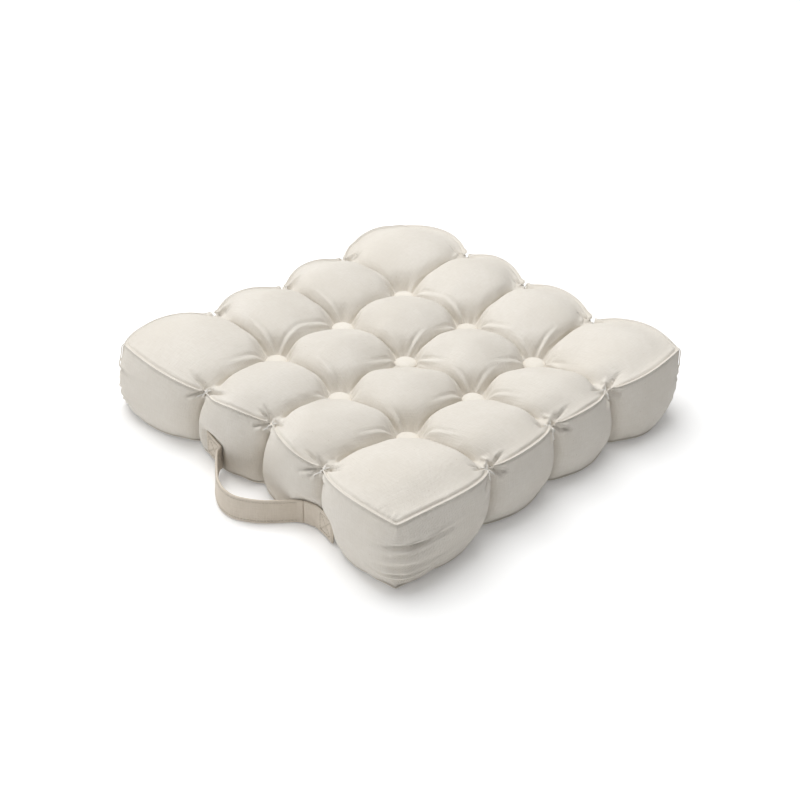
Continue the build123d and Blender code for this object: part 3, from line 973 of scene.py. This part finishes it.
left_grid, right_grid = against_cover(left_plan, left_low), against_cover(right_plan, right_low)
loop_grid = free_loop(left_grid[-1], right_grid[0])
press_box(left_grid)
press_box(right_grid[RIGHT_BOX:])
left_v, left_f, left_uv, left_face = cloth_strip(left_grid, STRAP_THICK)
right_v, right_f, right_uv, right_face = cloth_strip(right_grid, STRAP_THICK)
right_f = [[k + len(left_v) for k in face] for face in right_f]
handle_ends = add_piece(
    "handle_ends_sewn", np.vstack([left_v, right_v]), left_f + right_f, "cushion", left_uv + right_uv
)
loop_v, loop_f, loop_uv, loop_face = cloth_strip(loop_grid, STRAP_THICK)
handle_loop = add_piece("handle_loop", loop_v, loop_f, None, loop_uv)

front = np.array([0, -1.0, 0])
box_threads = Tubes()
box_stitches(box_threads, left_face, front)
box_stitches(box_threads, right_face[RIGHT_BOX:], front)
handle_stitches = box_threads.piece("handle_box_stitches", "cushion", "sewing_thread")
edge_threads = Tubes()
for share in (0.09, 0.91):
    edge_threads.stitches(rows_on(loop_face[3:-3], share, share), front * 0.6)
loop_stitches = edge_threads.piece("handle_loop_stitches", None, "sewing_thread")

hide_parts("handle_ends")
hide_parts("handle_strap")
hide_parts("handle_stitching")
for piece in (handle_loop, loop_stitches):
    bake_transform(piece)

# --- covered buttons

# Radius and height of the dome's rings, as shares, from the top down and round under the edge.
BUTTON_PROFILE = (
    (0.16, 0.992), (0.33, 0.965), (0.5, 0.915), (0.66, 0.835), (0.8, 0.72), (0.91, 0.575), (0.975, 0.42),
    (1.0, 0.28), (0.985, 0.15), (0.93, 0.05), (0.82, 0.0), (0.4, 0.03),
)
BUTTON_SIDES = 64


def button_mesh(high, radius, turn, waves):
    """A cloth-covered dome with its edge tucked under, gathered lightly at the rim. The cloth faces up."""
    sides = BUTTON_SIDES
    angle = np.linspace(0, 2 * math.pi, sides, endpoint=False)
    rings = []
    for r, h in BUTTON_PROFILE:
        gather = 0.012 * np.cos(waves * angle + turn) * max(0, r - 0.6) / 0.4 * (h < 0.75)
        ring_r = radius * r * (1 + gather)
        rings.append(np.column_stack([ring_r * np.cos(angle), ring_r * np.sin(angle), np.full(sides, high * h)]))
    vertices = np.vstack([[[0, 0, high]], *rings, [[0, 0, 0.06 * high]]])
    faces = [[0, 1 + s, 1 + (s + 1) % sides] for s in range(sides)]
    for k in range(len(rings) - 1):
        for s in range(sides):
            a, b = 1 + k * sides + s, 1 + k * sides + (s + 1) % sides
            faces.append([a, a + sides, b + sides, b])
    end = len(vertices) - 1
    start = end - sides
    faces += [[end, start + (s + 1) % sides, start + s] for s in range(sides)]
    return vertices, faces


def make_buttons(name, node, facing_up):
    """Nine buttons in the places of the CAD's covers."""
    low_corner, high_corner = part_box(node)
    low, high = low_corner[2], high_corner[2]
    radius = (high_corner[0] - low_corner[0]) / 2 - PITCH
    vertices, faces, total = [], [], 0
    for a, b in TUFTS:
        v, f = button_mesh(high - low, radius, rng.uniform(0, 6), 22 + int(rng.integers(0, 6)))
        tilt = rng.uniform(-0.05, 0.05, 2)
        v[:, 2] += tilt[0] * v[:, 0] + tilt[1] * v[:, 1]
        if not facing_up:
            v[:, 2] = high - low - v[:, 2]
            f = [face[::-1] for face in f]
        vertices.append(v + np.array([a * PITCH, b * PITCH, low]))
        faces += [[k + total for k in face] for face in f]
        total += len(v)
    piece = add_piece(name, np.vstack(vertices), faces, "cushion")
    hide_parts(node)
    return piece


top_buttons = make_buttons("top_buttons_covered", "top_button_covers", True)
base_buttons = make_buttons("base_buttons_covered", "base_button_covers", False)

# --- twine ties round the rim

TWINE_R = 0.8 * MM


def on_cover(place, face, lift):
    """The place on the cover's outside seen along a direction, lifted a little off the cloth."""
    hit, _, _, _ = cover_tree.ray_cast(Vector(place + face * 40 * MM), Vector(-face), 60 * MM)
    return (np.array(hit) if hit else place) + face * lift


def tail_place(place, face, lift):
    """A place for a loose tail: where it is, or lifted off the cloth if that stands further out."""
    lifted = on_cover(place, face, lift)
    return lifted if (lifted - place) @ face > 0 else place


def tie_knot(tubes, place, along, inward):
    """Two strands crossed over the gathered edge, a small knot and two cut tails."""
    face = unit(-inward * 0.8 + UP * 0.6)
    down = unit(-UP + 0.3 * -inward)
    for sign in (-1, 1):
        strand = [
            on_cover(place + inward * 7 * MM + sign * along * 3.6 * MM, face, -0.8 * MM),
            on_cover(place + inward * 3.5 * MM + sign * along * 1.8 * MM, face, 0.5 * MM),
            on_cover(place, face, 1.0 * MM),
            on_cover(place - UP * 4.5 * MM - sign * along * 1.8 * MM, face, 0.5 * MM),
            on_cover(place - UP * 9.0 * MM - sign * along * 3.4 * MM, face, -0.8 * MM),
        ]
        tubes.run(smooth_line(strand, 22), TWINE_R)
    centre = on_cover(place, face, 1.6 * MM)
    angle = np.linspace(0, 2 * math.pi, 20, endpoint=False)
    for turn, tilt in ((0.2, 0.5), (1.9, -0.4)):
        a = along * math.cos(turn) + down * math.sin(turn)
        ring = centre + np.cos(angle)[:, None] * a * 1.7 * MM + np.sin(angle)[:, None] * face * 1.3 * MM
        ring = ring + (np.sin(2 * angle) * 0.3 * MM)[:, None] * np.cross(a, face) + tilt * MM * along
        tubes.run(ring, TWINE_R * 0.95, closed=True)
    for sign in (-1, 1):
        spread = rng.uniform(0.3, 1.0)
        length = rng.uniform(10, 16) * MM if sign > 0 else rng.uniform(6, 11) * MM
        way = unit(sign * spread * along + down)
        tail = [
            centre,
            tail_place(centre + 0.25 * length * way, face, 1.8 * MM),
            tail_place(centre + 0.65 * length * way, face, rng.uniform(1.2, 2.2) * MM),
            tail_place(centre + length * way, face, rng.uniform(0.9, 1.8) * MM),
        ]
        tubes.run(smooth_line(tail, 14), TWINE_R * 0.85)


def make_ties():
    """Every tie: its knot at the top seam, and the twine from there down inside the side's crease."""
    tubes = Tubes()
    for a, b in TIES:
        place, along, inward = tie_frame(a, b, cover_points, TOP_ID)
        tie_knot(tubes, place, along, inward)
        under, _, _ = tie_frame(a, b, cover_points, BASE_ID)
        run = [
            place - UP * 6 * MM + inward * 1 * MM,
            place - UP * 16 * MM + inward * 10 * MM,
            under + UP * 16 * MM + inward * 14 * MM,
            under + UP * 5 * MM + inward * 5 * MM,
        ]
        tubes.run(smooth_line(run, 24), TWINE_R)
    piece = tubes.piece("edge_ties", "cushion", "tufting_twine")
    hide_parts("edge_twines", "edge_tie_tails")
    return piece


edge_ties = make_ties()

# --- seam edges

SEAM_R = 0.55 * MM


def make_seams():
    """The rolled edges of the sewn seams: round each panel's rim and up the two joins of the band."""
    tubes = Tubes()
    i, j = WALK
    outward = np.column_stack([np.sign(i - MID) * ON_X, np.sign(j - MID) * ON_Y, np.zeros(len(i))])
    outward /= lengths(outward)
    for ids, up, lift in ((TOP_ID, UP, 0.4), (BASE_ID, DOWN, -0.6)):
        rim = cover_points[ids[WALK]] + (outward * 0.7 + up * lift) * MM
        rim[:, 2] = np.maximum(rim[:, 2], 0.9 * MM)
        tubes.run(rim, SEAM_R, closed=True)
    for corner in (0, 2 * LAST):
        join = cover_points[BAND_ID[:, corner]] + outward[corner] * 1.3 * MM
        tubes.run(smooth_line(join, 60), SEAM_R)
    piece = tubes.piece("seam_edges", "cushion", "cover_canvas")
    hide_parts("top_seam_thread", "base_seam_thread", "band_seam_threads")
    return piece


seam_edges = make_seams()

# --- materials


class Nodes:
    """Shorthand for building the node tree of a material or a world."""

    def __init__(self, owner):
        owner.use_nodes = True
        self.owner, self.tree = owner, owner.node_tree
        self.shader = self.tree.nodes.get("Principled BSDF") or self.tree.nodes["Background"]

    def feed(self, node, inputs):
        """Sets a node's inputs, by name or number, to values or to other nodes' outputs."""
        for key, value in inputs.items():
            if isinstance(value, (int, float, tuple)):
                node.inputs[key].default_value = value
            else:
                self.tree.links.new(value, node.inputs[key])

    def add(self, kind, inputs=None, **settings):
        node = self.tree.nodes.new(kind)
        for key, value in settings.items():
            setattr(node, key, value)
        self.feed(node, inputs or {})
        return node

    def surface(self, **inputs):
        """Sets the shader's inputs, with underscores for spaces in their names. Gives the material or world."""
        self.feed(self.shader, {key.replace("_", " "): value for key, value in inputs.items()})
        return self.owner

    def place(self, kind="Object"):
        return self.add("ShaderNodeTexCoord").outputs[kind]

    def math(self, operation, *values):
        return self.add("ShaderNodeMath", dict(enumerate(values)), operation=operation).outputs[0]

    def noise(self, vector, scale, detail=3.0, rough=0.55):
        inputs = {"Vector": vector, "Scale": scale, "Detail": detail, "Roughness": rough}
        return self.add("ShaderNodeTexNoise", inputs).outputs["Fac"]

    def stretch(self, vector, factors):
        return self.add("ShaderNodeVectorMath", {0: vector, 1: factors}, operation="MULTIPLY").outputs[0]

    def spread(self, value, low, high, to_low=0.0, to_high=1.0):
        inputs = {"Value": value, "From Min": low, "From Max": high, "To Min": to_low, "To Max": to_high}
        return self.add("ShaderNodeMapRange", inputs).outputs[0]

    def mix(self, share, a, b):
        """A mix of two colours, each given as three numbers or as an output."""
        a, b = ((*c, 1.0) if isinstance(c, tuple) else c for c in (a, b))
        return self.add("ShaderNodeMix", {0: share, 6: a, 7: b}, data_type="RGBA").outputs[2]

    def bump(self, height, strength, distance):
        inputs = {"Height": height, "Strength": strength, "Distance": distance}
        return self.add("ShaderNodeBump", inputs).outputs["Normal"]


def new_material(name):
    return Nodes(bpy.data.materials.new(name))


def canvas(name, colour, shade, pitch, relief, on_uv):
    """Plain-woven cotton: crossing threads with slubs, patchy colour, a few flecks of seed, and painted shade in the
    weave's hollows.
    """
    n = new_material(name)
    flat = n.add("ShaderNodeUVMap", uv_map="weave").outputs["UV"] if on_uv else n.place()
    shift = n.math("MULTIPLY", n.math("SUBTRACT", n.noise(flat, 90.0, 2.0), 0.5), 0.9 * pitch)
    parts = n.add("ShaderNodeSeparateXYZ", {0: flat}).outputs
    warp, weft = (
        n.math("SINE", n.math("MULTIPLY", n.math("ADD", parts[axis], shift), math.pi / pitch)) for axis in "XY"
    )
    crossing = n.math("MULTIPLY", warp, weft)
    ways = (0.12, 1.0, 1.0), (1.0, 0.12, 1.0)
    slubs = n.math("ADD", *(n.noise(n.stretch(flat, way), 0.55 / pitch, 2.0) for way in ways))
    rumple = n.noise(flat, 38.0, 4.0, 0.6)
    height = n.math("ADD", n.math("MULTIPLY", crossing, 0.18), n.math("MULTIPLY", slubs, 0.55))
    height = n.math("ADD", height, n.math("MULTIPLY", rumple, 1.1))
    patch = n.spread(n.noise(flat, 11.0, 4.0), 0.35, 0.65)
    base = n.mix(n.math("MULTIPLY", patch, 0.55), colour, shade)
    base = n.mix(n.math("MULTIPLY", n.spread(slubs, 0.75, 1.25), 0.50), base, shade)
    # Painted shade: the colour darkens where the crossing threads' relief is low, in the weave's hollows.
    painted_weave_hollow_shade = (shade[0] * 0.72, shade[1] * 0.70, shade[2] * 0.66)
    base = n.mix(n.spread(crossing, -1.0, 1.0, 0.10, 0.0), base, painted_weave_hollow_shade)
    fleck = n.spread(n.noise(flat, 420.0, 1.0), 0.765, 0.80, 0.0, 0.55)
    return n.surface(
        Base_Color=n.mix(fleck, base, (0.36, 0.26, 0.16)),
        Roughness=n.spread(slubs, 0.6, 1.4, 0.82, 0.96),
        Normal=n.bump(height, relief, 0.9 * MM),
        Sheen_Weight=0.12,
        Sheen_Roughness=0.5,
        Specular_IOR_Level=0.25,
    )


def twisted_thread(name, colour, shade, scale):
    """Spun cotton: fine slanting fibres, coloured darker in their grooves as painted shade."""
    n = new_material(name)
    place = n.place()
    inputs = {"Vector": place, "Scale": scale, "Distortion": 3.0}
    slant = n.add("ShaderNodeTexWave", inputs, bands_direction="DIAGONAL").outputs["Fac"]
    fibres = n.noise(place, scale * 4, 3.0)
    height = n.math("ADD", slant, n.math("MULTIPLY", fibres, 0.6))
    return n.surface(
        # Painted shade: the colour follows the fibres' relief and is darker where it is low.
        Base_Color=n.mix(n.spread(height, 0.4, 1.3), shade, colour),
        Roughness=n.spread(fibres, 0.3, 0.7, 0.6, 0.85),
        Normal=n.bump(height, 0.5, 0.3 * MM),
        Sheen_Weight=0.1,
    )


def wadding(name):
    """Loose cotton fibre, darker in the hollows between its clumps as painted shade."""
    n = new_material(name)
    place = n.place()
    clumps, fibres = n.noise(place, 60.0, 5.0), n.noise(place, 900.0, 3.0)
    return n.surface(
        # Painted shade: darker where the clumps' relief is low.
        Base_Color=n.mix(n.spread(clumps, 0.3, 0.7), (0.80, 0.78, 0.72), (0.92, 0.91, 0.88)),
        Roughness=n.spread(fibres, 0.3, 0.7, 0.9, 1.0),
        Normal=n.bump(n.math("ADD", clumps, n.math("MULTIPLY", fibres, 0.4)), 0.7, 2 * MM),
    )


def pressed_steel(name):
    """Plated steel with a faint brushed grain and dull patches."""
    n = new_material(name)
    place = n.place()
    grain = n.noise(n.stretch(place, (1.0, 1.0, 8.0)), 1200.0, 3.0)
    dull = n.noise(place, 200.0, 3.0)
    return n.surface(
        Base_Color=n.mix(dull, (0.50, 0.50, 0.51), (0.62, 0.62, 0.63)),
        Roughness=n.spread(dull, 0.3, 0.7, 0.25, 0.45),
        Normal=n.bump(grain, 0.15, 0.05 * MM),
        Metallic=1.0,
    )


COTTON, COTTON_SHADE = (0.85, 0.81, 0.745), (0.74, 0.69, 0.61)
cover_cloth = canvas("cover_canvas", COTTON, COTTON_SHADE, 0.8 * MM, 1.0, True)
edge_cloth = canvas("seam_canvas", COTTON, COTTON_SHADE, 0.75 * MM, 0.3, False)
button_cloth = canvas("button_canvas", (0.82, 0.79, 0.73), COTTON_SHADE, 0.7 * MM, 0.3, False)
handle_cloth = canvas("handle_canvas", (0.71, 0.64, 0.55), (0.58, 0.51, 0.42), 0.85 * MM, 0.5, True)
# The sewing thread's colour is darker than the strap's cloth: painted shade for the stitches' pressed-in lines.
thread = twisted_thread("sewing_thread", (0.66, 0.60, 0.51), (0.50, 0.44, 0.36), 900.0)
twine = twisted_thread("tufting_twine", (0.93, 0.92, 0.89), (0.76, 0.73, 0.68), 500.0)

for pieces, material in (
    ((cover,), cover_cloth),
    ((seam_edges,), edge_cloth),
    ((top_buttons, base_buttons), button_cloth),
    ((handle_ends, handle_loop), handle_cloth),
    ((handle_stitches, loop_stitches), thread),
    ((edge_ties,), twine),
):
    for piece in pieces:
        piece.data.materials.append(material)

slot_finish = {
    "cover_canvas": edge_cloth,
    "button_canvas": button_cloth,
    "handle_canvas": edge_cloth,
    "sewing_thread": thread,
    "tufting_twine": twine,
    "cotton_wadding": wadding("cotton_wadding"),
    "button_steel": pressed_steel("button_steel"),
}
for subpart in frame["record"]["subparts"]:
    node = frame["nodes"][subpart["node"]]
    node.data.materials.clear()
    node.data.materials.append(slot_finish[subpart["material_slot"]])

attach(cover, "cushion")
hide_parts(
    "top_panel",
    "base_panel",
    "side_band_front_right",
    "side_band_back_left",
    "lower_wadding",
    "middle_wadding",
    "upper_wadding",
)

# --- stage

DIM, BRIGHT = 0.1, 0.84  # strength of the surround, away from and towards its bright side
BRIGHT_SIDE = (-0.76, -0.48, 0.43)
KEY_POWER, KEY_SIZE, KEY_PLACE = 53, 2.0, (-0.6, 0.2, 2.5)
FLOOR_SIZE = 40


def make_stage():
    """A plain pale floor, a soft key overhead from the left, and a surround that is brightest at the front left."""
    bpy.ops.mesh.primitive_plane_add(size=FLOOR_SIZE)
    floor = bpy.context.object
    floor.name = "floor"
    white = new_material("floor_white").surface(
        Base_Color=(0.95, 0.95, 0.95, 1),
        Roughness=1,
        Specular_IOR_Level=0,
        Emission_Color=(1, 1, 1, 1),
        Emission_Strength=0.1,
    )
    floor.data.materials.append(white)

    n = Nodes(bpy.data.worlds.new("surround"))
    inputs = {0: n.place("Generated"), 1: BRIGHT_SIDE}
    facing = n.add("ShaderNodeVectorMath", inputs, operation="DOT_PRODUCT").outputs["Value"]
    bpy.context.scene.world = n.surface(Color=(1, 1, 1, 1), Strength=n.spread(facing, -0.5, 1, DIM, BRIGHT))

    data = bpy.data.lights.new("key", "AREA")
    data.energy, data.size = KEY_POWER, KEY_SIZE
    key = bpy.data.objects.new("key", data)
    key.location = KEY_PLACE
    key.rotation_mode = "QUATERNION"
    key.rotation_quaternion = Vector(key.location).to_track_quat("Z", "Y")
    bpy.context.scene.collection.objects.link(key)
    bpy.context.scene.view_settings.view_transform = "Standard"


make_stage()
